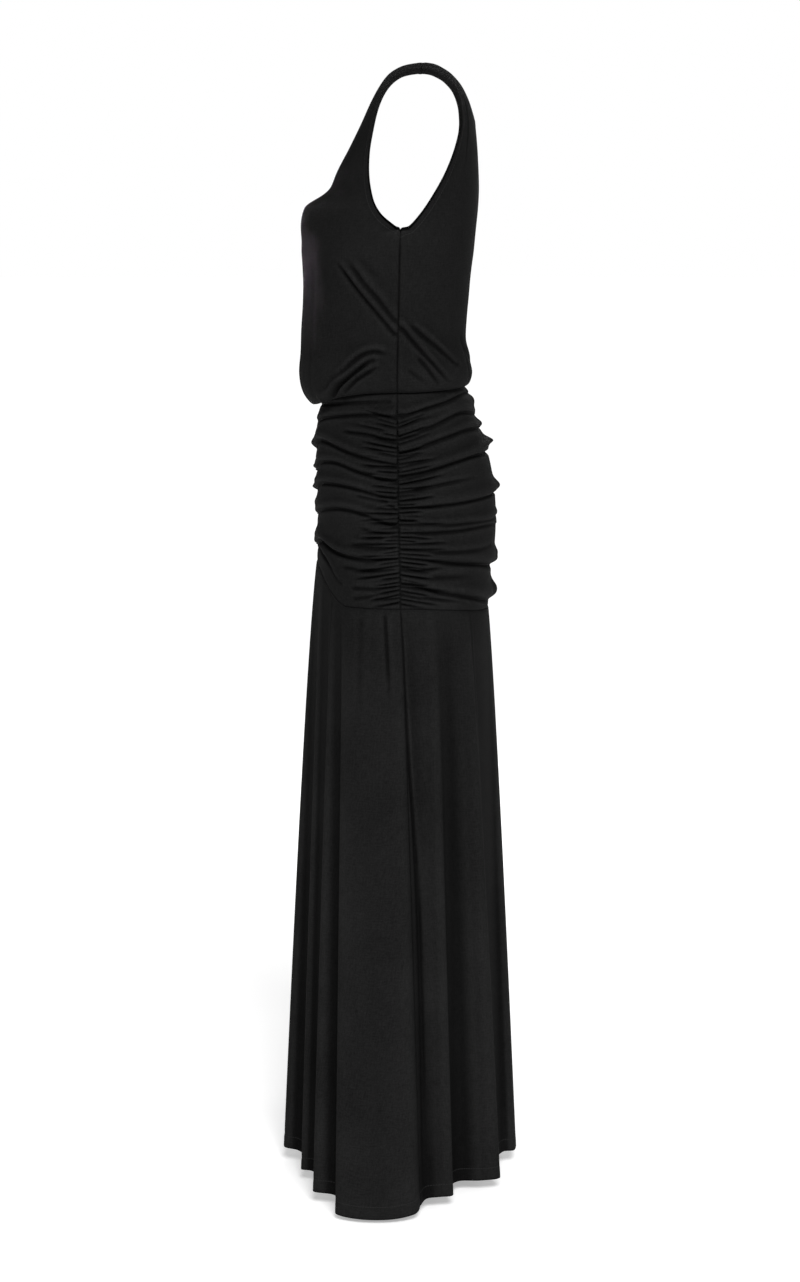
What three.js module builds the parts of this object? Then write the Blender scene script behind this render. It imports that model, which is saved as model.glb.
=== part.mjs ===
// A sleeveless jersey maxi dress, filled out as if worn: V neck, bloused bodice, ruched hip panel and
// a long skirt that flares in soft folds to the hem. Millimetres, +Z up, front towards -Y, and the
// wearer's left towards +X. The origin lies midway between the shoulder seams, at the height of
// their neck ends. Each cut panel is a thin wall of cloth, and all six are sewn edge to edge.
import * as THREE from "three";

// Driving dimensions
const CLOTH = 1.6;
const SEAM_GAP = 0.3;
const SKIRT_LENGTH = 754;
const SIDE_SEAM_Y = -28;
const BODICE_COLUMNS = 8;
const HIP_ROWS = 17;
const SKIRT_ROWS = 10;
const HALF_GAP = SEAM_GAP / 2;
const BODICE_COLOUR = 0x17171a;
const HIP_COLOUR = 0x18181b;
const SKIRT_COLOUR = 0x161619;
const CLOTH_ROUGHNESS = 0.72;
const ON_CENTRE = 1e-6;

// Fullness of the front over the bust: where it is fullest, how far it stands out, and how far it fades
const BUST = { x: 52, z: -180, forward: 25, halfWidth: 46, above: 17, below: 50 };

// How square a body section is: the length of each handle of its quarter curve, as a part of the quarter
const CENTRE_HANDLE = 0.62;
const SIDE_HANDLE = 0.62;
// The same for a strap that does not wrap round: its shorter handles, and how far across the outer one starts
const STRAP = { centreHandle: 0.55, sideHandle: 0.4, across: 0.66 };

// Front bodice, a row for each section from the shoulder seam down.
// inner: neck edge, or the centre front once x is 0. outer: armhole edge, then side seam.
// turn: 0 where the section is a flat strap, 1 where it wraps right round to the side
const FRONT_BODICE = table(
  ["innerX", "innerY", "innerZ", "outerX", "outerY", "outerZ", "turn"],
  [
    [62, 0, 0, 102, -2, -7.5, 0],
    [61.5, -20, -3, 102.5, -17, -9.5, 0],
    [60.5, -33, -8, 103, -29, -13.5, 0],
    [58.5, -44, -16, 104, -40, -22, 0.05],
    [55, -54.5, -30, 105.5, -49.5, -35, 0.1],
    [49.5, -65.5, -50, 108, -57.5, -54, 0.15],
    [42.5, -77, -75, 110, -63.5, -79, 0.2],
    [34, -92, -105, 113, -68.5, -109, 0.3],
    [25, -108, -135, 117.5, -69, -140, 0.4],
    [17, -117.5, -160, 123.5, -64, -165, 0.6],
    [9, -130, -185, 133, -52.5, -188, 0.8],
    [0, -145, -213, 143.5, -35, -204, 0.95],
    [0, -151, -231, 151, SIDE_SEAM_Y, -209, 1],
    [0, -152, -250, 152, -28.6, -230, 1],
    [0, -152, -276, 151, -29.5, -260, 1],
    [0, -153, -304, 147.5, -30, -290, 1],
    [0, -155, -334, 142.5, -30.6, -318, 1],
    [0, -156, -362, 139, -31.2, -345, 1],
    [0, -158, -387, 138.5, -31.6, -365, 1],
    [0, -155.5, -407, 139.5, -32, -380, 1],
    [0, -149, -421, 139, -32, -392, 1],
    [0, -139.5, -429.5, 136.5, -32, -401, 1],
    [0, -131.5, -424, 133, -32, -406, 1],
    [0, -126.5, -416, 130, -32, -407.5, 1],
  ],
);

// Back bodice, on the same plan: the neck edge scoops to the centre back
const BACK_BODICE = table(
  ["innerX", "innerY", "innerZ", "outerX", "outerY", "outerZ", "turn"],
  [
    [62, 0, 0, 102, -2, -7.5, 0],
    [61.5, 14, -2, 102.5, 10, -9, 0],
    [60.5, 25, -7, 103.3, 20, -13, 0],
    [58.5, 36, -14.5, 104.5, 30, -19.5, 0.05],
    [54, 48, -28, 106.5, 40.5, -32, 0.1],
    [45.5, 57, -45, 109, 47, -49, 0.15],
    [31, 62.5, -60, 111.5, 49, -65, 0.25],
    [15, 65.5, -69, 113, 49, -77, 0.3],
    [0, 66.8, -73, 114.5, 47, -90, 0.35],
    [0, 69.5, -100, 118, 40.5, -112, 0.45],
    [0, 71.3, -130, 124, 30, -137, 0.55],
    [0, 72.1, -156, 131, 16.5, -161, 0.7],
    [0, 71, -180, 139.5, 0.5, -185, 0.85],
    [0, 69, -200, 147, -16, -204, 0.95],
    [0, 67.5, -215, 151, SIDE_SEAM_Y, -209, 1],
    [0, 65.5, -236, 152, -28.6, -230, 1],
    [0, 62, -262, 151, -29.5, -260, 1],
    [0, 59.5, -292, 147.5, -30, -290, 1],
    [0, 57, -320, 142.5, -30.6, -318, 1],
    [0, 56, -345, 139, -31.2, -345, 1],
    [0, 59.5, -362, 138.5, -31.6, -365, 1],
    [0, 63.5, -380, 139.5, -32, -380, 1],
    [0, 64, -391, 139, -32, -392, 1],
    [0, 61, -401, 136.5, -32, -401, 1],
    [0, 56.5, -404.5, 133, -32, -406, 1],
    [0, 52.5, -402, 130, -32, -407.5, 1],
  ],
);

// Hip panel, a row for each section from the waist seam down to the seam of the skirt
const HIP = table(
  ["frontY", "frontZ", "sideX", "sideY", "sideZ", "backY", "backZ"],
  [
    [-125.6, -416.3, 129.4, -32, -407.8, 51.9, -402.3],
    [-133, -444, 142, -32, -438, 62, -430],
    [-136, -475, 155, -31.5, -472, 77, -466],
    [-136, -508, 165, -31, -508, 88.5, -508],
    [-135.5, -545, 173, -30.5, -545, 94.5, -552],
    [-135, -588, 179, -29.5, -590, 94.5, -600],
    [-135, -628, 182, -28.5, -632, 88.5, -648],
    [-135.5, -628, 183, SIDE_SEAM_Y, -671, 85.7, -688],
  ],
);

// Seam of hip panel and skirt over the front quarter: it rises in a wide arch to the centre front
const FRONT_ARCH = table(
  ["along", "z"],
  [
    [0, -628],
    [0.2, -634],
    [0.35, -649.5],
    [0.5, -667],
    [0.58, -672],
    [1, -671],
  ],
);

// Creases of the ruched hip panel: heights at the centre, half-way and the side seam, and the depth
const FRONT_CREASES = table(
  ["centreZ", "middleZ", "seamZ", "depth"],
  [
    [-446, -438, -437, 4.5],
    [-476, -482, -500, 6],
    [-500, -503, -518, 5],
    [-526, -525, -538, 6],
    [-559, -554, -575, 5.5],
    [-599, -613, -605, 6],
  ],
);
const BACK_CREASES = table(
  ["centreZ", "middleZ", "seamZ", "depth"],
  [
    [-437, -446, -464, 3.5],
    [-485, -494, -510, 8],
    [-544, -546, -546, 7],
    [-580, -580, -583, 3.5],
    [-634, -622, -608, 8],
    [-676, -658, -638, 7],
  ],
);
const ROLL_ABOVE = 9;
const ROLL_WIDTH = 9;
const CREASE_WIDTH = 6;
// Where a crease bends, how deep its hollow is beside its roll, and how much of it is left at each end
const CREASE_BEND = 0.6;
const HOLLOW_SHARE = 0.5;
const CREASE_AT_CENTRE = 0.9;
const CREASE_AT_SEAM = 0.5;
// Lengths over which the creases fade out: below the waist, above the skirt (in rows) and at the side seam
const CALM_TOP = 20;
const CALM_BOTTOM = 0.6;
const CALM_SIDE = 0.12;
const WAIST_TOP = { front: -416, back: -404 };

// Folds of the skirt, a row for each crest or hollow from the centre front to the side seam.
// along: its place on the seam of the hip panel, in quarters. hemX, hemY: its place at the hem.
// drop: how far its hem hangs below the side's
const FRONT_FOLDS = table(
  ["along", "hemX", "hemY", "drop"],
  [
    [0, 0, -183, -11],
    [0.07, 20, -180, -12],
    [0.13, 29, -161, -10],
    [0.2, 62, -147, -6],
    [0.28, 99, -157, -8],
    [0.33, 109, -141, -8],
    [0.39, 150, -126, -7],
    [0.45, 189, -139, -8],
    [0.49, 201, -112, -7],
    [0.53, 222, -101, -2],
    [0.58, 250, -109, 0],
    [0.7, 266, -79, 1],
    [0.84, 267, -40, 1],
    [0.95, 255, -10, 0],
    [1, 232, -3, -3],
  ],
);
const BACK_FOLDS = table(
  ["along", "hemX", "hemY", "drop"],
  [
    [1, 232, -3, -3],
    [0.95, 213, 5, -6],
    [0.87, 209, 22, -7],
    [0.8, 202, 38.5, -7],
    [0.74, 170, 36, -8],
    [0.68, 142, 48, -7],
    [0.6, 140, 76, -7],
    [0.5, 131, 100.5, -8],
    [0.42, 98, 91, -9],
    [0.3, 58, 98, -10],
    [0.2, 31, 108, -10],
    [0.12, 23, 122, -9],
    [0, 0, 126, -8],
  ],
);
// How early the skirt spreads on its way down: 1 is even, less is sooner
const SPREAD = { front: 0.78, side: 0.81, back: 0.84 };

// Turns rows of numbers into objects with the named columns
function table(columns, rows) {
  return rows.map((row) => Object.fromEntries(columns.map((name, i) => [name, row[i]])));
}

function mix(from, to, part) {
  return from + (to - from) * part;
}

function bell(distance) {
  return Math.exp(-distance * distance);
}

// A named column of a table at a place between its rows, along a curve that passes through each row
function columnAt(rows, name, place) {
  const last = rows.length - 1;
  const start = Math.min(Math.floor(place), last - 1);
  const part = place - start;
  const value = (i) => rows[Math.min(Math.max(i, 0), last)][name];
  const [before, from, to, after] = [value(start - 1), value(start), value(start + 1), value(start + 2)];
  const slopeFrom = (to - before) / 2;
  const slopeTo = (after - from) / 2;
  const squared = part * part;
  const cubed = squared * part;
  return (
    (2 * cubed - 3 * squared + 1) * from +
    (cubed - 2 * squared + part) * slopeFrom +
    (3 * squared - 2 * cubed) * to +
    (cubed - squared) * slopeTo
  );
}

// The same for a table whose first column is not evenly spaced, on straight lines between rows
function lineAt(rows, key, name, place) {
  const next = Math.max(1, rows.findIndex((row) => row[key] >= place));
  const [from, to] = [rows[next - 1], rows[next]];
  return mix(from[name], to[name], (place - from[key]) / (to[key] - from[key]));
}

// A quarter of a section: a curve from the inner point to the outer one, t from 0 to 1
function quarter(inner, outer, turn, t) {
  const handleX = mix(inner.x, outer.x, CENTRE_HANDLE * mix(STRAP.centreHandle, 1, turn));
  const sideX = mix(mix(inner.x, outer.x, STRAP.across), outer.x, turn);
  const sideY = mix(outer.y, inner.y, mix(STRAP.sideHandle, SIDE_HANDLE, turn));
  return new THREE.CubicBezierCurve3(
    inner,
    new THREE.Vector3(handleX, inner.y, inner.z),
    new THREE.Vector3(sideX, sideY, outer.z),
    outer,
  ).getPoint(t);
}

function bodicePoint(rows, t, place) {
  const at = (name) => columnAt(rows, name, place);
  const inner = new THREE.Vector3(Math.max(0, at("innerX")), at("innerY"), at("innerZ"));
  const outer = new THREE.Vector3(at("outerX"), at("outerY"), at("outerZ"));
  const point = quarter(inner, outer, at("turn"), t);
  if (rows === FRONT_BODICE) {
    const fade = point.z > BUST.z ? BUST.above : BUST.below;
    const across = bell((point.x - BUST.x) / BUST.halfWidth);
    point.y -= BUST.forward * across * bell((point.z - BUST.z) / fade);
  }
  return point;
}

// How far the ruched cloth stands out or in at a point: a roll above each crease, fading at the top
function ruche(creases, t, z, top) {
  const isInner = t < CREASE_BEND;
  const towards = isInner ? t / CREASE_BEND : (t - CREASE_BEND) / (1 - CREASE_BEND);
  const stand = creases.map((crease) => {
    const from = isInner ? crease.centreZ : crease.middleZ;
    const line = mix(from, isInner ? crease.middleZ : crease.seamZ, towards);
    const roll = bell((z - line - ROLL_ABOVE) / ROLL_WIDTH);
    const hollow = bell((z - line) / CREASE_WIDTH);
    return crease.depth * mix(CREASE_AT_CENTRE, CREASE_AT_SEAM, t) * (roll - HOLLOW_SHARE * hollow);
  });
  const ease = Math.min(1, (top - z) / CALM_TOP);
  return ease * stand.reduce((sum, value) => sum + value, 0);
}

function hipPoint(isFront, t, place, withRuche = true) {
  const last = HIP.length - 1;
  const side = isFront ? "front" : "back";
  const at = (name) => columnAt(HIP, name, place);
  const inner = new THREE.Vector3(0, at(side + "Y"), at(side + "Z"));
  const outer = new THREE.Vector3(at("sideX"), at("sideY"), at("sideZ"));
  const point = quarter(inner, outer, 1, t);
  if (isFront) {
    const low = lineAt(FRONT_ARCH, "along", "z", t);
    const high = mix(HIP[0].frontZ, HIP[0].sideZ, t * t * (3 - 2 * t));
    const sideHigh = HIP[0].sideZ;
    const sideLow = HIP[last].sideZ;
    point.z = mix(high, low, (sideHigh - outer.z) / (sideHigh - sideLow));
  }
  if (withRuche) {
    const middle = new THREE.Vector3(0, SIDE_SEAM_Y, point.z);
    const outward = point.clone().sub(middle).setZ(0).normalize();
    const calm = Math.min(1, (last - place) / CALM_BOTTOM, (1 - t) / CALM_SIDE);
    const creases = isFront ? FRONT_CREASES : BACK_CREASES;
    point.addScaledVector(outward, calm * ruche(creases, t, point.z, WAIST_TOP[side]));
  }
  return point;
}

// A point of the skirt: part runs from 0 at the seam of the hip panel to 1 at the hem
function skirtPoint(folds, place, part) {
  const at = (name) => columnAt(folds, name, place);
  const isFront = folds === FRONT_FOLDS;
  const top = hipPoint(isFront, at("along"), HIP.length - 1, false);
  const hemZ = HIP[HIP.length - 1].sideZ - SKIRT_LENGTH - at("drop");
  const spread = Math.pow(part, mix(isFront ? SPREAD.front : SPREAD.back, SPREAD.side, at("along")));
  return new THREE.Vector3(
    Math.max(0, mix(top.x, at("hemX"), spread)),
    mix(top.y, at("hemY"), spread),
    mix(top.z - SEAM_GAP, hemZ, part),
  );
}

// The outer face of a panel, made from one half and mirrored for the other.
// surface(column, row) gives a point; column 0 is the centre line, or an open edge where x is over 0
function sheet(name, colour, columns, rows, surface, facesFront) {
  const points = [];
  const ids = new Map();
  for (const side of [1, -1]) {
    for (let row = 0; row <= rows; row += 1) {
      for (let column = 0; column <= columns; column += 1) {
        const point = surface(column, row);
        const onCentre = column === 0 && point.x < ON_CENTRE;
        if (onCentre && side === -1) {
          ids.set([side, row, column].join(), ids.get([1, row, column].join()));
        } else {
          ids.set([side, row, column].join(), points.length);
          points.push(new THREE.Vector3(point.x * side, point.y, point.z));
        }
      }
    }
  }
  const faces = [];
  for (const side of [1, -1]) {
    for (let row = 0; row < rows; row += 1) {
      for (let column = 0; column < columns; column += 1) {
        const corner = (down, across) => ids.get([side, row + down, column + across].join());
        const loop = [corner(0, 0), corner(1, 0), corner(1, 1), corner(0, 1)];
        const face = (side === 1) === facesFront ? loop : loop.reverse();
        faces.push([face[0], face[1], face[2]], [face[0], face[2], face[3]]);
      }
    }
  }
  return { name, colour, points, faces, normals: outwardAt(points, faces) };
}

function outwardAt(points, faces) {
  const normals = points.map(() => new THREE.Vector3());
  for (const face of faces) {
    const [a, b, c] = face.map((i) => points[i]);
    const normal = b.clone().sub(a).cross(c.clone().sub(a));
    face.forEach((i) => normals[i].add(normal));
  }
  points.forEach((point, i) => {
    if (Math.abs(point.x) < ON_CENTRE) normals[i].setX(0);
    normals[i].normalize();
  });
  return normals;
}

// Where two sheets meet at a seam, their walls turn the same way, so that the seam stays even inside.
// The bodice folds back to the waist seam, and so it keeps its own direction there
function matchSeams(sheets) {
  const isBodice = (one) => one.name.startsWith("bodice");
  const turned = sheets.map((one) =>
    one.points.map((point, i) => {
      const sum = one.normals[i].clone();
      for (const other of sheets) {
        if (other === one || isBodice(other) !== isBodice(one)) continue;
        const near = other.points.findIndex((place) => place.distanceTo(point) < 2 * SEAM_GAP);
        if (near >= 0) sum.add(other.normals[near]);
      }
      return sum.normalize();
    }),
  );
  sheets.forEach((one, i) => (one.normals = turned[i]));
}

// Gives a sheet its wall: the same sheet moved in by the cloth's thickness, and rims between the two
function clothMesh({ name, colour, points, faces, normals }) {
  const edges = new Map();
  for (const face of faces) {
    face.forEach((from, i) => {
      const to = face[(i + 1) % 3];
      edges.set([from, to].join(), [from, to]);
    });
  }
  const count = points.length;
  const inside = points.map((point, i) => point.clone().addScaledVector(normals[i], -CLOTH));
  const triangles = faces.flatMap((face) => [face, [face[0] + count, face[2] + count, face[1] + count]]);
  for (const [from, to] of edges.values()) {
    if (edges.has([to, from].join())) continue;
    // Both rims at a seam are split along the same diagonal, from the lower outer end to the upper inner
    if (points[to].z < points[from].z) {
      triangles.push([to, from, from + count], [to, from + count, to + count]);
    } else {
      triangles.push([to, from, to + count], [from, from + count, to + count]);
    }
  }
  const geometry = new THREE.BufferGeometry();
  const positions = [...points, ...inside].flatMap((point) => point.toArray());
  geometry.setAttribute("position", new THREE.Float32BufferAttribute(positions, 3));
  geometry.setIndex(triangles.flat());
  geometry.computeVertexNormals();
  const material = new THREE.MeshStandardMaterial({
    color: colour,
    roughness: CLOTH_ROUGHNESS,
    metalness: 0,
  });
  const mesh = new THREE.Mesh(geometry, material);
  mesh.name = name;
  return mesh;
}

// The point at the end of a row of a sheet, half a seam's gap short of the seam
function shortOfSeam(end, before) {
  const back = before.clone().sub(end).setLength(HALF_GAP);
  return end.clone().add(back);
}

function bodice(name, rows, facesFront) {
  const towards = facesFront ? -1 : 1;
  const surface = (column, row) => {
    const at = (place) => bodicePoint(rows, place / BODICE_COLUMNS, row);
    const onSideSeam = column === BODICE_COLUMNS && rows[row].turn === 1;
    const point = onSideSeam ? shortOfSeam(at(column), at(column - 1)) : at(column);
    if (row === 0) point.y += towards * HALF_GAP;
    return point;
  };
  return sheet(name, BODICE_COLOUR, BODICE_COLUMNS, rows.length - 1, surface, facesFront);
}

// Hip panel: its columns meet those of the skirt below
function hipPanel(name, folds, facesFront) {
  const columns = folds.length - 1;
  const surface = (column, row) => {
    const place = (row / HIP_ROWS) * (HIP.length - 1);
    const at = (number) => hipPoint(facesFront, folds[facesFront ? number : columns - number].along, place);
    return column === columns ? shortOfSeam(at(column), at(column - 1)) : at(column);
  };
  return sheet(name, HIP_COLOUR, columns, HIP_ROWS, surface, facesFront);
}

function skirt(name, folds, facesFront) {
  const columns = folds.length - 1;
  const surface = (column, row) => {
    const at = (number) => skirtPoint(folds, facesFront ? number : columns - number, row / SKIRT_ROWS);
    return column === columns ? shortOfSeam(at(column), at(column - 1)) : at(column);
  };
  return sheet(name, SKIRT_COLOUR, columns, SKIRT_ROWS, surface, facesFront);
}

const sheets = [
  bodice("bodice_front", FRONT_BODICE, true),
  bodice("bodice_back", BACK_BODICE, false),
  hipPanel("hip_panel_front", FRONT_FOLDS, true),
  hipPanel("hip_panel_back", BACK_FOLDS, false),
  skirt("skirt_front", FRONT_FOLDS, true),
  skirt("skirt_back", BACK_FOLDS, false),
];
matchSeams(sheets);

const dress = new THREE.Group();
dress.name = "maxi_dress";
dress.add(...sheets.map(clothMesh));

export default dress;
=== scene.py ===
"""A sleeveless black jersey maxi dress, filled out as if worn, on a plain pale floor.

Tables are in millimetres and the meshes in metres. +Z is up, the front of the dress faces -Y and the
wearer's left side is +X. Every cut panel is one thin wall of cloth, shaped from its sections, and its
creases are laid in the cloth's own places: how far round from the centre line (0) to the
side seam (1), and how high.
"""

import logging
import math
from dataclasses import dataclass
from enum import Enum
from typing import Callable, ClassVar, Sequence

import bmesh
import bpy
import numpy as np
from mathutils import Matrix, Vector

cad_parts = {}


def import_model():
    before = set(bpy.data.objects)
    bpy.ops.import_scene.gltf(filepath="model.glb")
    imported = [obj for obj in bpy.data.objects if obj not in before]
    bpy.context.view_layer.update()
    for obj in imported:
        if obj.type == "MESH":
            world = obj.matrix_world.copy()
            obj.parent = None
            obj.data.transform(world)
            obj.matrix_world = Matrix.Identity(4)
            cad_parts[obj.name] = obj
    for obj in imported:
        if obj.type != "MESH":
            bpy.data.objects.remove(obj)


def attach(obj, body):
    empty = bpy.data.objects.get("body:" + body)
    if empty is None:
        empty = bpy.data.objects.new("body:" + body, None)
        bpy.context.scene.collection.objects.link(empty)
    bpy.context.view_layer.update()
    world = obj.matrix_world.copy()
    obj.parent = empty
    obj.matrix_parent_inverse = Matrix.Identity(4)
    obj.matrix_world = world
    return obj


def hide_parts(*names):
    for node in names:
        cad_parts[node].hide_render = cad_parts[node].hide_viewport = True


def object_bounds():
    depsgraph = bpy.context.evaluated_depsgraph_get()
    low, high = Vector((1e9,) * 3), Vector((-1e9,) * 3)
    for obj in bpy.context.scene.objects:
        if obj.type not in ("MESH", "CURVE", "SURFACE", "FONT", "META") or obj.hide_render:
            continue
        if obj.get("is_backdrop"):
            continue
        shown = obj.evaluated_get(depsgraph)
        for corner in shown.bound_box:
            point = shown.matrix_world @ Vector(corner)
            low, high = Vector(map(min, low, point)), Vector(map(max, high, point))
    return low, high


LOG = logging.getLogger("maxi_dress")
MM = 0.001
FAR = 1e9
ON_CENTRE = 1e-3

SIDE_SEAM_Y = -28.0
SEAM_GAP = 0.3
SKIRT_LENGTH = 754.0
ARMHOLE_FOOT_Z = -209
CLOTH_THICKNESS = 1.1

# How a section of the body bends: the reach of its curve's handles, flat for a strap or turned to the side
HANDLE_REACH = 0.62
STRAP_REACH = 0.55
STRAP_SIDE = 0.66
STRAP_FALL = 0.4
SIDE_FALL = 0.62

# A crease: its share of the stated width and depth, its ridge in widths, and where along it it fades
CREASE_SHARPNESS = 0.76
CREASE_STRENGTH = 1.12
RIDGE_AT = 2.3
RIDGE_WIDTH = 1.7
RIDGE_REACH = 5
FADE_IN = 0.22
FADE_OUT = 0.45
LINE_POINTS = 18
LINE_EASING = (0.1, 0.23, 0.34, 0.23, 0.1)

# Seams and edges: how wide a seam bends the cloth, and how a turned edge lifts up to its stitching
SEAM_BEND = 1.8
SHOULDER_DIP = 0.8
EDGE_LIFT = 0.25
EDGE_EASE = 1.5
GROOVE_WIDTH = 1.3
NECK_STITCHING = 5.5
HEM_STITCHING = 16.0
HEM_GROOVE = 0.6

Table = dict[str, np.ndarray]
Place = tuple[float, float, float]


class Side(Enum):
    """Which half of the dress a panel belongs to."""

    FRONT = "front"
    BACK = "back"


class Hold(Enum):
    """How a panel of cloth is held up."""

    HUNG = "hung"
    GATHERED = "gathered"


class Edge(Enum):
    """How an edge is made: sewn at a seam, sewn at the shoulder, or turned under and stitched."""

    SEAM = "seam"
    SHOULDER = "shoulder"
    TURNED = "turned"


def table(columns: str, rows: Sequence[Sequence[float]]) -> Table:
    """Name the columns of a table of numbers.

    Args:
        columns: The names, with a space between each.
        rows: The rows of numbers.

    Returns:
        An array for each named column.
    """
    return {name: np.array([row[i] for row in rows], float) for i, name in enumerate(columns.split())}


BODICE_COLUMNS = "innerX innerY innerZ outerX outerY outerZ turn"

FRONT_BODICE = table(BODICE_COLUMNS, (
    (62, 0, 0, 102, -2, -7.5, 0), (61.5, -20, -3, 102.5, -17, -9.5, 0), (60.5, -33, -8, 103, -29, -13.5, 0),
    (58.5, -44, -16, 104, -40, -22, 0.05), (55, -54.5, -30, 105.5, -49.5, -35, 0.1),
    (49.5, -65.5, -50, 108, -57.5, -54, 0.15), (42.5, -77, -75, 110, -63.5, -79, 0.2),
    (34, -92, -105, 113, -68.5, -109, 0.3), (25, -108, -135, 117.5, -69, -140, 0.4),
    (17, -117.5, -160, 123.5, -64, -165, 0.6), (9, -130, -185, 133, -52.5, -188, 0.8),
    (0, -145, -213, 143.5, -35, -204, 0.95), (0, -151, -231, 151, -28, -209, 1),
    (0, -152, -250, 152, -28.6, -230, 1), (0, -152, -276, 151, -29.5, -260, 1),
    (0, -153, -304, 147.5, -30, -290, 1), (0, -155, -334, 142.5, -30.6, -318, 1),
    (0, -156, -362, 139, -31.2, -345, 1), (0, -158, -387, 138.5, -31.6, -365, 1),
    (0, -155.5, -407, 139.5, -32, -380, 1), (0, -149, -421, 139, -32, -392, 1),
    (0, -139.5, -429.5, 136.5, -32, -401, 1), (0, -131.5, -424, 133, -32, -406, 1),
    (0, -126.5, -416, 130, -32, -407.5, 1),
))

BACK_BODICE = table(BODICE_COLUMNS, (
    (62, 0, 0, 102, -2, -7.5, 0), (61.5, 14, -2, 102.5, 10, -9, 0), (60.5, 25, -7, 103.3, 20, -13, 0),
    (58.5, 36, -14.5, 104.5, 30, -19.5, 0.05), (54, 48, -28, 106.5, 40.5, -32, 0.1),
    (45.5, 57, -45, 109, 47, -49, 0.15), (31, 62.5, -60, 111.5, 49, -65, 0.25),
    (15, 65.5, -69, 113, 49, -77, 0.3), (0, 66.8, -73, 114.5, 47, -90, 0.35),
    (0, 69.5, -100, 118, 40.5, -112, 0.45), (0, 71.3, -130, 124, 30, -137, 0.55),
    (0, 72.1, -156, 131, 16.5, -161, 0.7), (0, 71, -180, 139.5, 0.5, -185, 0.85),
    (0, 69, -200, 147, -16, -204, 0.95), (0, 67.5, -215, 151, -28, -209, 1),
    (0, 65.5, -236, 152, -28.6, -230, 1), (0, 62, -262, 151, -29.5, -260, 1),
    (0, 59.5, -292, 147.5, -30, -290, 1), (0, 57, -320, 142.5, -30.6, -318, 1),
    (0, 56, -345, 139, -31.2, -345, 1), (0, 59.5, -362, 138.5, -31.6, -365, 1),
    (0, 63.5, -380, 139.5, -32, -380, 1), (0, 64, -391, 139, -32, -392, 1),
    (0, 61, -401, 136.5, -32, -401, 1), (0, 56.5, -404.5, 133, -32, -406, 1),
    (0, 52.5, -402, 130, -32, -407.5, 1),
))

BODICE = {Side.FRONT: FRONT_BODICE, Side.BACK: BACK_BODICE}

HIP = table("frontY frontZ sideX sideY sideZ backY backZ", (
    (-125.6, -416.3, 129.4, -32, -407.8, 51.9, -402.3), (-133, -444, 142, -32, -438, 62, -430),
    (-136, -475, 155, -31.5, -472, 77, -466), (-136, -508, 165, -31, -508, 88.5, -508),
    (-135.5, -545, 173, -30.5, -545, 94.5, -552), (-135, -588, 179, -29.5, -590, 94.5, -600),
    (-135, -628, 182, -28.5, -632, 88.5, -648), (-135.5, -628, 183, -28, -671, 85.7, -688),
))
HIP_LAST = len(HIP["sideX"]) - 1

FRONT_ARCH = table("along z", (
    (0, -628), (0.2, -634), (0.35, -649.5), (0.5, -667), (0.58, -672), (1, -671),
))

FOLD_COLUMNS = "along hemX hemY drop"
FRONT_FOLDS = table(FOLD_COLUMNS, (
    (0, 0, -183, -11), (0.07, 20, -180, -12), (0.13, 29, -161, -10), (0.2, 62, -147, -6),
    (0.28, 99, -157, -8), (0.33, 109, -141, -8), (0.39, 150, -126, -7), (0.45, 189, -139, -8),
    (0.49, 201, -112, -7),
    (0.53, 222, -101, -2), (0.58, 250, -109, 1), (0.7, 266, -79, 3), (0.84, 267, -40, 3),
    (0.95, 255, -10, 0), (1, 232, -3, -3),
))
BACK_FOLDS = table(FOLD_COLUMNS, (
    (0, 0, 126, -8), (0.12, 23, 122, -9), (0.2, 31, 108, -10), (0.3, 58, 98, -10), (0.42, 98, 91, -9),
    (0.5, 131, 100.5, -7), (0.6, 140, 76, -6), (0.68, 142, 48, -6), (0.74, 170, 36, -8),
    (0.8, 202, 38.5, -7), (0.87, 209, 22, -7), (0.95, 213, 5, -6), (1, 232, -3, -3),
))
FOLDS = {Side.FRONT: FRONT_FOLDS, Side.BACK: BACK_FOLDS}
FLARE = {Side.FRONT: 0.78, Side.BACK: 0.84}
SIDE_FLARE = 0.81


def mix(start: np.ndarray | float, end: np.ndarray | float, part: np.ndarray | float) -> np.ndarray | float:
    """Return the value a part of the way from start to end."""
    return start + (end - start) * part


def bell(distance: np.ndarray) -> np.ndarray:
    """Return a soft bump: 1 at no distance, near 0 past 2."""
    return np.exp(-distance * distance)


def smooth(part: np.ndarray) -> np.ndarray:
    """Return an eased step from 0 to 1 as part goes from 0 to 1."""
    held = np.clip(part, 0, 1)
    return held * held * (3 - 2 * held)


def run_along(points: np.ndarray, axis: int = 0) -> np.ndarray:
    """Return the length of the way to each point, from the first one on its line.

    Args:
        points: Points along one or more lines.
        axis: The axis that follows the lines.

    Returns:
        The lengths, 0 at the start of each line.
    """
    lengths = np.cumsum(np.linalg.norm(np.diff(points, axis=axis), axis=-1), axis=axis)
    margin = [(0, 0)] * lengths.ndim
    margin[axis] = (1, 0)
    return np.pad(lengths, margin)


def averaged(points: np.ndarray, axis: int, half: int, spread: float, mode: str) -> np.ndarray:
    """Average each point of a grid with its neighbours, the near ones most.

    Args:
        points: The grid.
        axis: The axis that the neighbours lie along.
        half: Neighbours on each side.
        spread: How many of them away the weight has faded.
        mode: How the grid goes on past its ends, as numpy's pad names it.

    Returns:
        The averaged grid.
    """
    weights = bell(np.arange(-half, half + 1) / spread)
    weights /= weights.sum()
    margin = [(0, 0)] * points.ndim
    margin[axis] = (half, half)
    wide = np.pad(points, margin, mode=mode)
    count = points.shape[axis]
    return sum(weight * wide.take(range(i, i + count), axis=axis) for i, weight in enumerate(weights))


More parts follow.
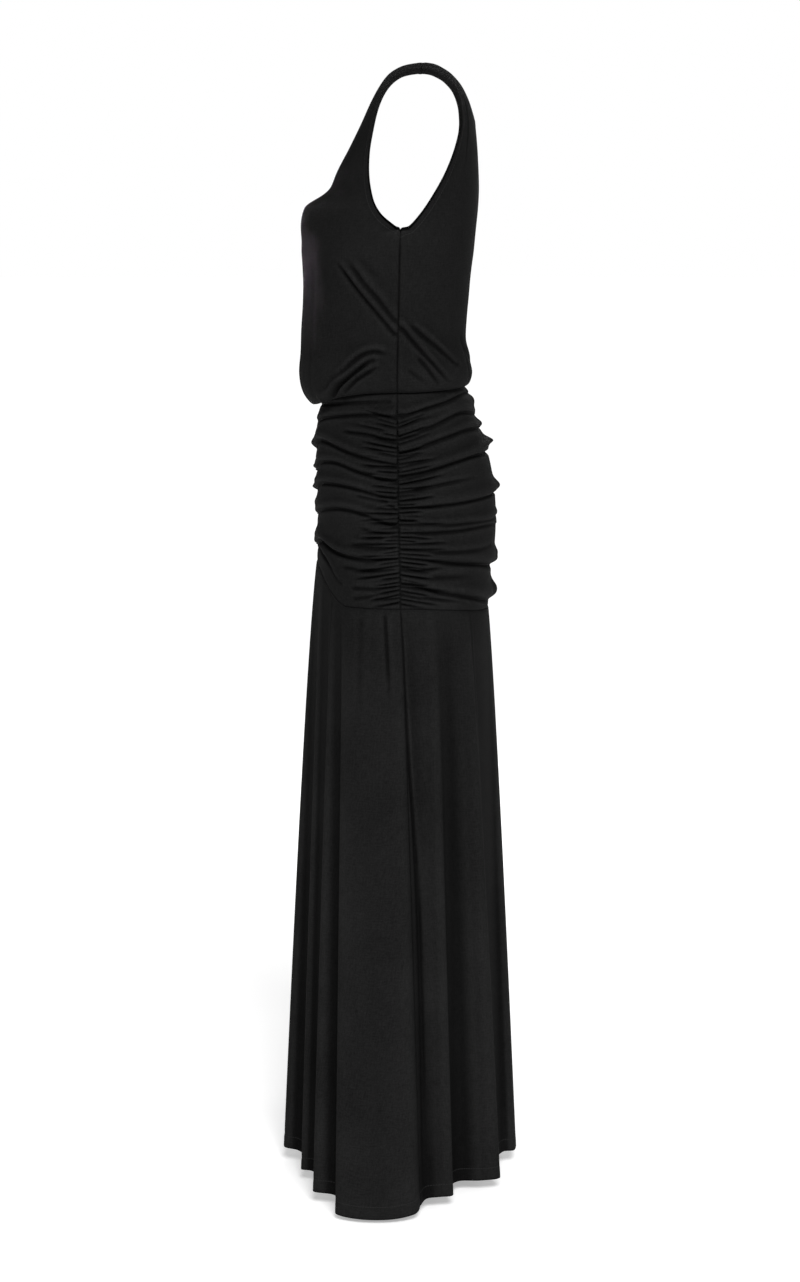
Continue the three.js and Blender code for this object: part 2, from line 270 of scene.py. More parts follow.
def column_at(values: np.ndarray, place: np.ndarray) -> np.ndarray:
    """Read a table's column between its rows, along a curve that passes through each row.

    Args:
        values: The column.
        place: Row numbers, with parts of a row.

    Returns:
        The value at each place.
    """
    last = len(values) - 1
    start = np.clip(np.floor(place).astype(int), 0, last - 1)
    part = place - start
    before, here, there, after = (values[np.clip(start + i, 0, last)] for i in (-1, 0, 1, 2))
    slope_here, slope_there = (there - before) / 2, (after - here) / 2
    squared = part * part
    cubed = squared * part
    return (
        (2 * cubed - 3 * squared + 1) * here
        + (cubed - 2 * squared + part) * slope_here
        + (3 * squared - 2 * cubed) * there
        + (cubed - squared) * slope_there
    )


def quarter(inner: np.ndarray, outer: np.ndarray, turn: np.ndarray, t: np.ndarray) -> np.ndarray:
    """Return points on a quarter of a section, a cubic curve from inner to outer.

    Args:
        inner: Points on the centre line or the neck edge.
        outer: Points on the armhole edge or the side seam.
        turn: 0 where the section is a flat strap, 1 where it wraps right round to the side.
        t: Places along the curve, 0 to 1.

    Returns:
        A point for each place.
    """
    handle_x = mix(inner[..., 0], outer[..., 0], HANDLE_REACH * mix(STRAP_REACH, 1, turn))
    side_x = mix(mix(inner[..., 0], outer[..., 0], STRAP_SIDE), outer[..., 0], turn)
    side_y = mix(outer[..., 1], inner[..., 1], mix(STRAP_FALL, SIDE_FALL, turn))
    first = np.stack((handle_x, inner[..., 1], inner[..., 2]), -1)
    second = np.stack((side_x, side_y, outer[..., 2]), -1)
    t = t[..., None]
    s = 1 - t
    return s**3 * inner + 3 * s * s * t * first + 3 * s * t * t * second + t**3 * outer


@dataclass(frozen=True)
class Bust:
    """Fullness of the front over the bust, in millimetres."""

    x: float = 52
    z: float = -180
    forward: float = 25
    half_width: float = 46
    above: float = 15.5
    below: float = 50

    def stand(self, points: np.ndarray) -> np.ndarray:
        """Return how far each point stands forward."""
        fade = np.where(points[..., 2] > self.z, self.above, self.below)
        across = bell((points[..., 0] - self.x) / self.half_width)
        return self.forward * across * bell((points[..., 2] - self.z) / fade)


def bodice_point(side: Side, t: np.ndarray, place: np.ndarray) -> np.ndarray:
    """Return points of the bodice at places t across and place down its table of sections."""
    at = lambda name: column_at(BODICE[side][name], place)
    inner = np.stack((np.maximum(0, at("innerX")), at("innerY"), at("innerZ")), -1)
    outer = np.stack((at("outerX"), at("outerY"), at("outerZ")), -1)
    return quarter(inner, outer, np.clip(at("turn"), 0, 1), t)


def hip_point(side: Side, t: np.ndarray, place: np.ndarray) -> np.ndarray:
    """Return points of the smooth hip panel at places t across and place down its table."""
    at = lambda name: column_at(HIP[name], place)
    inner = np.stack((np.zeros_like(t), at(side.value + "Y"), at(side.value + "Z")), -1)
    outer = np.stack((at("sideX"), at("sideY"), at("sideZ")), -1)
    points = quarter(inner, outer, np.ones_like(t), t)
    if side is Side.FRONT:
        low = np.interp(t, FRONT_ARCH["along"], FRONT_ARCH["z"])
        high = mix(HIP["frontZ"][0], HIP["sideZ"][0], smooth(t))
        top, bottom = HIP["sideZ"][0], HIP["sideZ"][-1]
        points[..., 2] = mix(high, low, (top - outer[..., 2]) / (top - bottom))
    return points


def skirt_point(side: Side, place: np.ndarray, part: np.ndarray) -> np.ndarray:
    """Return points of the skirt at a place in its table of folds and a part of the way to the hem."""
    at = lambda name: column_at(FOLDS[side][name], place)
    along = np.clip(at("along"), 0, 1)
    top = hip_point(side, along, np.full_like(along, HIP_LAST))
    hem_z = HIP["sideZ"][-1] - SKIRT_LENGTH - at("drop")
    spread = part ** mix(FLARE[side], SIDE_FLARE, along)
    x = np.maximum(0, mix(top[..., 0], at("hemX"), spread))
    y = mix(top[..., 1], at("hemY"), spread)
    return np.stack((x, y, mix(top[..., 2] - SEAM_GAP, hem_z, part)), -1)


@dataclass(frozen=True)
class Crease:
    """A soft trough in the cloth, with the ridge that stands along its upper side.

    Attributes:
        depth: Depth in millimetres; below 0 it is a ridge.
        width: Half-width of the trough in millimetres.
        bank: Height of the ridge above it, as a part of the depth.
        start: Strength at the first point.
        end: Strength at the last point.
        path: Places in the cloth: how far round, and how high in millimetres.
    """

    depth: float
    width: float
    bank: float
    start: float
    end: float
    path: tuple[tuple[float, float], ...]

    def other_side(self, number: int) -> "Crease":
        """Return a crease like this one for the other half, a little higher or lower and weaker."""
        shift = 6.5 * math.sin(1.9 * number + 0.7)
        reach = 0.95 + 0.06 * math.sin(2.7 * number)
        path = tuple(
            (-around * reach if around < 0.95 else -around, z + shift * min(1, abs(around) + 0.2))
            for around, z in self.path
        )
        depth = self.depth * (0.82 + 0.3 * math.cos(2.3 * number))
        width = self.width * (1.05 + 0.15 * math.sin(number))
        return Crease(depth, width, self.bank, self.start, self.end, path)

    def line(self, reach: float) -> np.ndarray:
        """Return the crease's line in millimetres; a long one runs in a curve that is level at its ends.

        Args:
            reach: Millimetres of cloth from the centre line to the side seam.

        Returns:
            Places along it: how far round, and how high.
        """
        knots = np.array([(around * reach, z) for around, z in self.path])
        if len(knots) < 4:
            return knots
        run = run_along(knots)
        even = np.linspace(0, run[-1], LINE_POINTS)
        around, height = (np.interp(even, run, knots[:, i]) for i in (0, 1))
        wide = np.pad(height, len(LINE_EASING) // 2, mode="reflect")
        height = sum(weight * wide[i : i + LINE_POINTS] for i, weight in enumerate(LINE_EASING))
        return np.stack((around, height), -1)

    def stand(self, around: np.ndarray, height: np.ndarray, reach: float) -> np.ndarray:
        """Work out how far the cloth stands out along this crease.

        Args:
            around: How far round each point is, in millimetres of cloth.
            height: How high each point is.
            reach: Millimetres of cloth from the centre line to the side seam.

        Returns:
            Millimetres outwards, below 0 in the trough.
        """
        knots = self.line(reach)
        run = run_along(knots)
        best = np.full(around.shape, FAR)
        signed, along = np.zeros((2, *around.shape))
        for (ax, az), (bx, bz), passed, length in zip(knots[:-1], knots[1:], run, np.diff(run)):
            dx, dz = (bx - ax) / length, (bz - az) / length
            part = np.clip(((around - ax) * dx + (height - az) * dz), 0, length)
            off_x, off_z = around - ax - part * dx, height - az - part * dz
            distance = np.hypot(off_x, off_z)
            above = (off_z * dx - off_x * dz) * (1 if dx >= 0 else -1)
            nearer = distance < best
            best = np.where(nearer, distance, best)
            signed = np.where(nearer, np.copysign(distance, above), signed)
            along = np.where(nearer, (passed + part) / run[-1], along)
        strength = mix(self.start, 1, smooth(along / FADE_IN))
        strength *= mix(1, self.end, smooth((along - 1 + FADE_OUT) / FADE_OUT))
        width = self.width * CREASE_SHARPNESS
        ridge = bell((signed / width - RIDGE_AT) / RIDGE_WIDTH) * bell(best / (RIDGE_REACH * width))
        return CREASE_STRENGTH * self.depth * strength * (self.bank * ridge - bell(best / width))


def creases(*rows: tuple) -> list[Crease]:
    """Turn table rows of depth, width, bank, start, end and path into creases."""
    return [Crease(*row) for row in rows]


def both_sides(near: list[Crease]) -> list[Crease]:
    """Return the creases of the near half and similar ones for the other."""
    return near + [crease.other_side(number) for number, crease in enumerate(near)]


# Bodice: diagonals from the bust to the side seam, and the folds of the blouse over the waist
FRONT_BODICE_CREASES = creases(
    (3.8, 3.2, 0.8, 0.1, 0.9, ((0.6, -240), (0.635, -250), (0.69, -263), (0.766, -282), (0.857, -304),
     (0.943, -325), (0.99, -340))),
    (2.8, 4.4, 0.6, 0.1, 0.8, ((0.69, -240), (0.717, -250), (0.794, -272), (0.87, -289), (0.939, -308),
     (0.99, -323))),
    (0.7, 6, 0.3, 0.1, 0.3, ((0.76, -236), (0.792, -245), (0.928, -273))),
    (7, 3.2, 0.9, 0.2, 0.7, ((0.86, -362), (0.815, -371), (0.717, -387), (0.601, -402), (0.542, -414),
     (0.415, -422))),
    (3.2, 3.6, 0.8, 0.1, 0.4, ((0.95, -360), (0.87, -355), (0.795, -359), (0.719, -371), (0.657, -385))),
    (4.2, 3, 0.9, 0.2, 0.6, ((0.874, -376), (0.75, -391), (0.647, -408))),
    (0.9, 8.5, 0, 0.3, 0.9, ((0.4, -215), (0.385, -280), (0.37, -345), (0.35, -385), (0.34, -420))),
    (1.3, 11, 0, 0, 0.9, ((0.13, -318), (0.13, -380), (0.16, -424))),
)
BACK_BODICE_CREASES = creases(
    (4, 3.4, 0.8, 0.8, 0.2, ((0.995, -321), (0.925, -338), (0.808, -361), (0.711, -379), (0.598, -398))),
    (3.2, 3.6, 0.8, 0.1, 0.4, ((0.94, -318), (0.908, -325), (0.827, -337), (0.655, -358), (0.489, -377))),
    (3, 4, 0.5, 0.2, 0.6, ((0.867, -361), (0.789, -378), (0.71, -396))),
    (1.3, 4, 0.4, 0.2, 0.5, ((0.943, -376), (0.788, -398))),
    (2.2, 7, 0, 0.1, 0.1, ((0.6, -40), (0.72, -70), (0.724, -96), (0.731, -121), (0.762, -145))),
    (2, 8, 0.4, 0.2, 0.4, ((0.42, -330), (0.3, -352), (0.12, -372), (0, -378))),
    (1.4, 8, 0, 0.2, 0.8, ((0.3, -350), (0.27, -375), (0.25, -400))),
)

# Hip panel, front: from the centre front round to the shirred side seam
FRONT_HIP_CREASES = creases(
    (4.2, 3.8, 0.6, 0.4, 0.3, ((0, -431), (0.2, -427), (0.551, -423), (0.782, -419), (0.95, -417))),
    (3.8, 3.4, 0.8, 0.3, 0.8, ((0, -453), (0.2, -447), (0.391, -442), (0.704, -436), (0.844, -434),
     (0.99, -437))),
    (3.2, 3, 0.8, 0.1, 1, ((0.6, -456), (0.799, -458), (0.929, -463), (1, -466))),
    (4.2, 3.8, 0.9, 0.6, 0.9, ((0, -489), (0.07, -488), (0.16, -478), (0.266, -469), (0.506, -473),
     (0.664, -481), (0.81, -488), (0.931, -493), (1, -500))),
    (4, 3.4, 0.9, 0.9, 0.9, ((0, -516), (0.08, -515), (0.18, -505), (0.29, -498), (0.595, -494),
     (0.703, -502), (0.837, -508), (0.964, -515), (1, -518))),
    (4.2, 3.6, 0.9, 0.9, 1, ((0, -542), (0.08, -541), (0.18, -532), (0.308, -524), (0.599, -522),
     (0.736, -524), (0.854, -531), (0.931, -534), (1, -538))),
    (2.2, 2.8, 0.8, 0.1, 1, ((0.728, -532), (0.921, -539), (1, -550))),
    (3.8, 3.8, 0.9, 0.6, 1, ((0, -573), (0.08, -572), (0.2, -563), (0.334, -558), (0.597, -551),
     (0.738, -552), (0.857, -559), (0.932, -565), (1, -575))),
    (2, 3, 0.7, 0.1, 0.9, ((0.77, -573), (0.9, -577), (1, -581))),
    (2.4, 3.6, 0.8, 0.2, 0.6, ((0.697, -595), (0.839, -596), (0.963, -597))),
    (5.4, 4, 0.9, 0.5, 0.4, ((0, -613), (0.08, -611), (0.2, -601), (0.338, -595), (0.438, -603),
     (0.64, -609), (0.762, -612), (0.859, -613), (0.93, -611), (1, -606))),
    (2.2, 4, 0.7, 0.1, 0.4, ((0.62, -623), (0.8, -625), (0.96, -624))),
    (2, 3.8, 0.6, 0.1, 0.4, ((0.7, -648), (0.85, -648), (0.96, -646))),
    (1.6, 3.6, 0.5, 0.2, 0.3, ((0.714, -662), (0.8, -659), (0.927, -654))),
    (-2.4, 7, 0, 0.8, 0.1, ((0, -476), (0.2, -464), (0.5, -462))),
    (-0.8, 7, 0, 0.8, 0.1, ((0, -498), (0.2, -493), (0.5, -484))),
    (-2, 7, 0, 0.8, 0.1, ((0, -527), (0.2, -519), (0.5, -511))),
    (-2.2, 9, 0, 0.8, 0.1, ((0, -556), (0.2, -549), (0.5, -538))),
    (-2.8, 8, 0, 0.8, 0.1, ((0, -596), (0.2, -586), (0.5, -584))),
    (3.2, 4, 0.6, 0.3, 0.3, ((0, -618), (0.2, -607), (0.271, -611), (0.4, -618), (0.492, -626),
     (0.631, -649))),
)

# Hip panel, back: from the side seam round to the centre back, and rising on the way
BACK_HIP_CREASES = creases(
    (4.2, 3.4, 0.7, 0.8, 0.4, ((1, -438), (0.86, -430), (0.742, -425), (0.5, -417), (0.296, -413),
     (0, -416))),
    (1.6, 2.6, 0.6, 1, 0.1, ((1, -449), (0.844, -439), (0.74, -436))),
    (3.4, 3.6, 0.9, 1, 0.4, ((1, -465), (0.88, -456), (0.769, -449), (0.514, -434), (0.332, -436),
     (0, -444))),
    (4, 3.8, 0.9, 1, 0.7, ((1, -485), (0.836, -471), (0.656, -462), (0.468, -456), (0.2, -458), (0, -460))),
    (-4, 7.5, 0, 0.4, 1.7, ((0.96, -499), (0.802, -494), (0.637, -487), (0.366, -479), (0, -476))),
    (4.6, 3.6, 0.3, 0.8, 0.9, ((1, -512), (0.956, -510), (0.851, -505), (0.701, -495), (0.471, -488),
     (0, -491))),
    (2.6, 3.2, 0.7, 0.9, 0.2, ((1, -531), (0.949, -528), (0.832, -522), (0.71, -518), (0.5, -514))),
    (-2.4, 9, 0, 0.3, 1.8, ((0.97, -537), (0.818, -537), (0.678, -537), (0.472, -535), (0.234, -533),
     (0, -533))),
    (4, 3, 0.2, 0.9, 0.8, ((1, -547), (0.964, -547), (0.818, -546), (0.641, -544), (0.38, -541),
     (0, -542))),
    (2.2, 2.6, 0.6, 1, 0.1, ((1, -561), (0.961, -562), (0.845, -565))),
    (3.4, 3.6, 0.8, 0.1, 0.5, ((0.88, -566), (0.781, -571), (0.623, -570), (0.365, -571), (0, -574))),
    (3.4, 3.6, 0.8, 0.9, 0.4, ((1, -586), (0.965, -583), (0.839, -577), (0.733, -579), (0.556, -577),
     (0.298, -577), (0.05, -584))),
    (2.6, 4, 0.7, 0.9, 0.3, ((1, -598), (0.85, -602), (0.741, -604), (0.474, -606), (0.3, -604))),
    (-2.2, 10, 0, 0.1, 1.3, ((0.8, -602), (0.5, -611), (0.25, -618), (0, -622))),
    (-2.6, 13, 0, 0.1, 1.7, ((0.7, -650), (0.4, -660), (0.2, -666), (0, -668))),
    (-3.6, 13, 0, 0.2, 1.2, ((0.75, -428), (0.35, -424), (0, -423))),
    (5, 4.2, 0.6, 0.1, 0.9, ((0.925, -607), (0.862, -610), (0.8, -615), (0.681, -619), (0.46, -624),
     (0.304, -629), (0, -638))),
    (3.6, 2.8, 0.5, 1, 0.1, ((1, -619), (0.906, -624), (0.825, -623), (0.74, -621))),
    (2, 5, 0.5, 0.1, 0.1, ((0.872, -633), (0.731, -635), (0.55, -637))),
    (4.6, 4.6, 0.6, 0.9, 0.6, ((1, -637), (0.974, -639), (0.873, -645), (0.829, -652), (0.67, -659),
     (0.35, -672), (0, -684))),
    (2.8, 3.2, 0.5, 1, 0.2, ((1, -650), (0.908, -657), (0.779, -662), (0.6, -668))),
)

# Skirt: the pleat near the side seam and the deep narrow fold behind it
FRONT_SKIRT_CREASES = creases(
    (2.2, 3.6, 0.3, 1, 0, ((0.906, -668), (0.908, -719), (0.911, -790))),
    (1, 8, 0, 0.6, 0, ((0.5, -668), (0.47, -760), (0.44, -900))),
    (0.8, 7, 0, 0.6, 0, ((0.8, -668), (0.79, -730), (0.78, -820))),
)
BACK_SKIRT_CREASES = creases(
    (6, 5, 0, 0.3, 0.6, ((1, -672), (0.998, -747), (0.99, -818), (0.971, -893), (0.954, -945),
     (0.94, -1034), (0.937, -1109), (0.94, -1223), (0.95, -1403))),
    (1, 8, 0, 0.6, 0, ((0.42, -680), (0.42, -760), (0.42, -900))),
)


@dataclass(frozen=True)
class Gathers:
    """The fine short gathers where the side seam of the hip panel is shirred.

    Attributes:
        side: Front or back of the seam.
        rise: How steeply a gather climbs away from the seam at the top.
        fall: How steeply it drops at the bottom.
        top: Height of the first gather in millimetres.
        bottom: Height of the last.
        reach: Millimetres of cloth from the centre line to the seam.
    """

    side: Side
    rise: float
    fall: float = 0.24
    top: float = -440
    bottom: float = -666
    reach: float = 220

    def rows(self) -> list[Crease]:
        """Return a short crease for each gather on both side seams, uneven in length and depth."""
        rng = np.random.default_rng(7 if self.side is Side.FRONT else 19)
        made = []
        for seam in (1, -1):
            z = self.top
            while z > self.bottom:
                down = (z - self.top) / (self.bottom - self.top)
                length = rng.uniform(0.09, 0.24) + 0.12 * rng.random() ** 3
                climb = self.rise * (1 - down) - self.fall * down + rng.uniform(-0.06, 0.06)
                lift = climb * length * self.reach
                path = tuple((seam * (1 - length * k), z + lift * k) for k in (0, 0.5, 1))
                made.append(Crease(rng.uniform(1.8, 4.0), rng.uniform(1.6, 2.2), 1.0, 1.0, 0.0, path))
                z -= rng.uniform(4.0, 5.8)
        return made


def line_distance(points: np.ndarray, line: np.ndarray) -> tuple[np.ndarray, np.ndarray]:
    """Measure every point's distance to a line of cloth and where along it the nearest place is.

    Args:
        points: Points in millimetres, of any shape with 3 last.
        line: Two or more points along the line.

    Returns:
        The distance and the length along the line, in millimetres.
    """
    best = np.full(points.shape[:-1], FAR)
    along = np.zeros(points.shape[:-1])
    run = run_along(line)
    for start, end, passed, length in zip(line[:-1], line[1:], run, np.diff(run)):
        if length < 1e-6:
            continue
        step = (end - start) / length
        part = np.clip((points - start) @ step, 0, length)
        distance = np.linalg.norm(points - start - part[..., None] * step, axis=-1)
        nearer = distance < best
        best = np.where(nearer, distance, best)
        along = np.where(nearer, passed + part, along)
    return best, along


@dataclass(frozen=True)
class Border:
    """One edge of a panel: the line it follows, how it is made, and where its stitching lies and how deep."""

    line: np.ndarray
    made: Edge = Edge.SEAM
    inset: float = NECK_STITCHING
    groove: float = 0.2


Socket = bpy.types.NodeSocket
Inputs = dict[str | int, object]
SocketRows = Sequence[tuple[str, str, object]]


class ShaderParts:
    """Small helpers that place and join nodes in one node tree."""

    def __init__(self, tree: bpy.types.NodeTree) -> None:
        """Keep the tree that the nodes go in."""
        self.tree = tree

    def fill(self, node: bpy.types.Node, inputs: Inputs) -> None:
        """Give each named input its value, or join it to the socket that is given."""
        for name, value in inputs.items():
            if isinstance(value, Socket):
                self.tree.links.new(value, node.inputs[name])
            else:
                node.inputs[name].default_value = value

    def add(self, kind: str, inputs: Inputs | None = None, **values: object) -> bpy.types.Node:
        """Place a node, set its properties and fill its inputs."""
        node = self.tree.nodes.new(kind)
        for name, value in values.items():
            setattr(node, name, value)
        self.fill(node, inputs or {})
        return node

    def math(self, operation: str, *inputs: object) -> Socket:
        """Place a Math node with sockets or numbers as its inputs and return its output."""
        return self.add("ShaderNodeMath", dict(enumerate(inputs)), operation=operation).outputs[0]

    def plus(self, *inputs: object) -> Socket:
        """Return the sum of two inputs."""
        return self.math("ADD", *inputs)

    def times(self, *inputs: object) -> Socket:
        """Return the product of two inputs."""
        return self.math("MULTIPLY", *inputs)

    def ripple(self, value: Socket) -> Socket:
        """Return a wave that touches 0 at each whole number and 1 half way between."""
        return self.math("ABSOLUTE", self.math("SINE", self.times(value, math.pi)))

    def ramp(self, value: Socket, limits: tuple[float, float], to: tuple[float, float]) -> Socket:
        """Map a value smoothly from one range to another and return the output."""
        ends = dict(zip(("From Min", "From Max", "To Min", "To Max"), (*limits, *to)))
        node = self.add("ShaderNodeMapRange", {"Value": value, **ends}, interpolation_type="SMOOTHSTEP")
        return node.outputs["Result"]

    def noise(self, vector: Socket, scale: float, detail: float) -> Socket:
        """Place a noise on the given coordinates and return its value."""
        inputs = {"Vector": vector, "Scale": scale, "Detail": detail}
        return self.add("ShaderNodeTexNoise", inputs).outputs["Fac"]

    def split(self, vector: Socket) -> bpy.types.NodeOutputs:
        """Return the X, Y and Z of a vector."""
        return self.add("ShaderNodeSeparateXYZ", {0: vector}).outputs


def new_group(
    name: str, inputs: SocketRows, outputs: SocketRows
) -> tuple[ShaderParts, bpy.types.NodeOutputs, bpy.types.Node]:
    """Make an empty shader node group with named inputs and outputs.

    Args:
        name: Name of the group.
        inputs: Name, type and default of each input.
        outputs: Name, type and default of each output.

    Returns:
        Its helper, the sockets that give its inputs, and the node that takes its outputs.
    """
    group = bpy.data.node_groups.new(name, "ShaderNodeTree")
    for way, sockets in (("INPUT", inputs), ("OUTPUT", outputs)):
        for label, kind, default in sockets:
            socket = group.interface.new_socket(label, in_out=way, socket_type="NodeSocket" + kind)
            if default is not None:
                socket.default_value = default
    given = group.nodes.new("NodeGroupInput").outputs
    return ShaderParts(group), given, group.nodes.new("NodeGroupOutput")


class JerseyEffects:
    """The node groups that every jersey finish shares: the knit, the wear of the pile with painted shade in
    the troughs and a painted highlight on the ridges of the creases, and the stitching.
    """

    def __init__(self) -> None:
        """Build each group once."""
        self.knit = self._knit()
        self.wear_and_crease_shade = self._wear_and_crease_shade()
        self.stitching = self._stitching()

    @staticmethod
    def _knit() -> bpy.types.NodeTree:
        """Build the knit: fine wales down the cloth, with the small slanted loops between them."""
        parts, given, result = new_group(
            "jersey_knit",
            (("Vector", "Vector", None), ("Wale", "Float", 0.9), ("Course", "Float", 0.75)),
            (("Height", "Float", None),),
        )
        cloth = parts.split(given["Vector"])
        across = parts.math("DIVIDE", cloth["X"], parts.times(given["Wale"], MM))
        down = parts.math("DIVIDE", cloth["Y"], parts.times(given["Course"], MM))
        slant = parts.math("PINGPONG", across, 0.5)
        wale, loop = parts.ripple(across), parts.ripple(parts.plus(down, slant))
        parts.fill(result, {"Height": parts.plus(parts.times(wale, 0.6), parts.times(loop, 0.4))})
        return parts.tree

    @staticmethod
    def _wear_and_crease_shade() -> bpy.types.NodeTree:
        """Build the uneven dye and yarn, the lint, and the painted shade in the troughs and painted highlight
        on the ridges of the creases.
        """
        parts, given, result = new_group(
            "jersey_wear_and_crease_shade",
            (("Vector", "Vector", None), ("Cloth", "Vector", None), ("Relief", "Float", 0.0),
             ("Colour", "Color", (0.01, 0.01, 0.01, 1)), ("Amount", "Float", 0.2)),
            (("Colour", "Color", None), ("Pile", "Float", None)),
        )
        broad, fine = parts.noise(given["Vector"], 9, 4), parts.noise(given["Vector"], 520, 2)
        lint = parts.ramp(parts.noise(given["Vector"], 900, 1), (0.70, 0.78), (0, 1))
        streaks = []
        for stretch in ((620, 75, 1), (95, 560, 1)):
            lie = parts.add("ShaderNodeMapping", {"Vector": given["Cloth"], "Scale": stretch})
            streaks.append(parts.noise(lie.outputs["Vector"], 1, 2))
        yarn = parts.times(parts.plus(*streaks), 0.5)
        grain = parts.plus(parts.times(fine, 0.4), parts.times(yarn, 0.6))
        uneven = parts.plus(parts.times(broad, 0.3), parts.times(grain, 0.7))
        swing = parts.times(parts.math("SUBTRACT", uneven, 0.5), given["Amount"])
        level = parts.plus(parts.plus(1, swing), parts.times(lint, 0.2))
        # Painted shade and highlight: the colour is scaled from 0.55 in the troughs of the creases to 1.4 on
        # their ridges, by the measured relief.
        dye_and_crease_shade = parts.times(level, parts.ramp(given["Relief"], (-1, 1), (0.55, 1.4)))
        colour = parts.add("ShaderNodeVectorMath", {0: given["Colour"], "Scale": dye_and_crease_shade}, operation="SCALE")
        parts.fill(result, {"Colour": colour.outputs["Vector"], "Pile": uneven})
        return parts.tree

    @staticmethod
    def _stitching() -> bpy.types.NodeTree:
        """Build the topstitching: one thread seen as short stitches in a shallow groove."""
        parts, given, result = new_group(
            "topstitching",
            (("Vector", "Vector", None), ("Stitch", "Float", 3.2)),
            (("Thread", "Float", None), ("Height", "Float", None)),
        )
        edge = parts.split(given["Vector"])
        off = parts.math("ABSOLUTE", edge["Y"])
        place = parts.math("FRACT", parts.math("DIVIDE", edge["X"], parts.times(given["Stitch"], MM)))
        dash = parts.ramp(parts.math("ABSOLUTE", parts.math("SUBTRACT", place, 0.5)), (0.34, 0.42), (1, 0))
        thread = parts.times(parts.ramp(off, (0.00030, 0.00055), (1, 0)), dash)
        groove = parts.ramp(off, (0.0003, 0.0014), (1, 0))
        height = parts.math("SUBTRACT", parts.times(thread, 0.9), groove)
        parts.fill(result, {"Thread": thread, "Height": height})
        return parts.tree


@dataclass(frozen=True)
class JerseyFinish:
    """A black jersey knit with a matt satin face.

    Attributes:
        name: Name of the material.
        gloss: Strength of the plain reflection.
        colour: Linear colour of the dyed yarn.
        thread: Linear colour of the stitching.
        mottle: How uneven the dye and the yarn are.
        roughness: How matt the face is.
        rubbing: How much more matt it is where the pile stands up.
        thread_shine: How much less matt the stitching is.
        wale: Width of one wale in millimetres.
        course: Height of one course in millimetres.
        depths: Depth of the relief of knit, stitching and pile, in millimetres.
        bump: Strength of that relief.
    """

    name: str
    gloss: float = 0.01
    colour: tuple[float, ...] = (0.0083, 0.0083, 0.0083, 1)
    thread: tuple[float, ...] = (0.019, 0.019, 0.019, 1)
    mottle: float = 3.0
    roughness: float = 0.68
    rubbing: float = 0.12
    thread_shine: float = 0.15
    wale: float = 0.95
    course: float = 0.8
    depths: tuple[float, float, float] = (0.10, 0.3, 0.05)
    bump: float = 0.8

    def make(self, effects: JerseyEffects) -> bpy.types.Material:
        """Build the material.

        Args:
            effects: The shared node groups.

        Returns:
            The finished material.
        """
        material = bpy.data.materials.new(self.name)
        material.use_nodes = True
        material.diffuse_color = self.colour
        material.node_tree.nodes.clear()
        parts = ShaderParts(material.node_tree)
        maps = ("Cloth", "Stitching")
        cloth, edge = (parts.add("ShaderNodeUVMap", uv_map=name).outputs["UV"] for name in maps)
        # The measured relief of the creases, read to paint shade into their troughs and a highlight onto
        # their ridges.
        relief = parts.add("ShaderNodeAttribute", attribute_name="Relief").outputs["Fac"]
        where = parts.add("ShaderNodeTexCoord").outputs["Object"]

        groups = (effects.knit, effects.wear_and_crease_shade, effects.stitching)
        knit, wear_and_crease_shade, stitching = (parts.add("ShaderNodeGroup", node_tree=group) for group in groups)
        parts.fill(knit, {"Vector": cloth, "Wale": self.wale, "Course": self.course})
        parts.fill(wear_and_crease_shade, {"Vector": where, "Cloth": cloth, "Relief": relief})
        parts.fill(wear_and_crease_shade, {"Colour": self.colour, "Amount": self.mottle})
        parts.fill(stitching, {"Vector": edge})
        pile, thread = wear_and_crease_shade.outputs["Pile"], stitching.outputs["Thread"]

        dyed = {"Factor": thread, "A": wear_and_crease_shade.outputs["Colour"], "B": self.thread}
        face = parts.add("ShaderNodeMix", dyed, data_type="RGBA")
        rough = parts.plus(self.roughness, parts.times(pile, self.rubbing))
        knit_height, stitch_height, pile_height = (
            parts.times(height, depth)
            for height, depth in zip((knit.outputs["Height"], stitching.outputs["Height"], pile), self.depths)
        )
        height = parts.plus(parts.plus(knit_height, stitch_height), pile_height)
        bump = parts.add("ShaderNodeBump", {"Strength": self.bump, "Distance": MM, "Height": height})
        shader = parts.add("ShaderNodeBsdfPrincipled", {
            "Base Color": face.outputs["Result"],
            "Roughness": parts.math("SUBTRACT", rough, parts.times(thread, self.thread_shine)),
            "Specular IOR Level": self.gloss,
            "Normal": bump.outputs["Normal"],
        })
        parts.add("ShaderNodeOutputMaterial", {"Surface": shader.outputs["BSDF"]})
        return material


def put(name: str, data: bpy.types.ID) -> bpy.types.Object:
    """Make an object of a mesh, lamp or camera and return it, linked into the scene."""
    thing = bpy.data.objects.new(name, data)
    bpy.context.collection.objects.link(thing)
    return thing


Sections = Callable[[Side, np.ndarray, np.ndarray], np.ndarray]


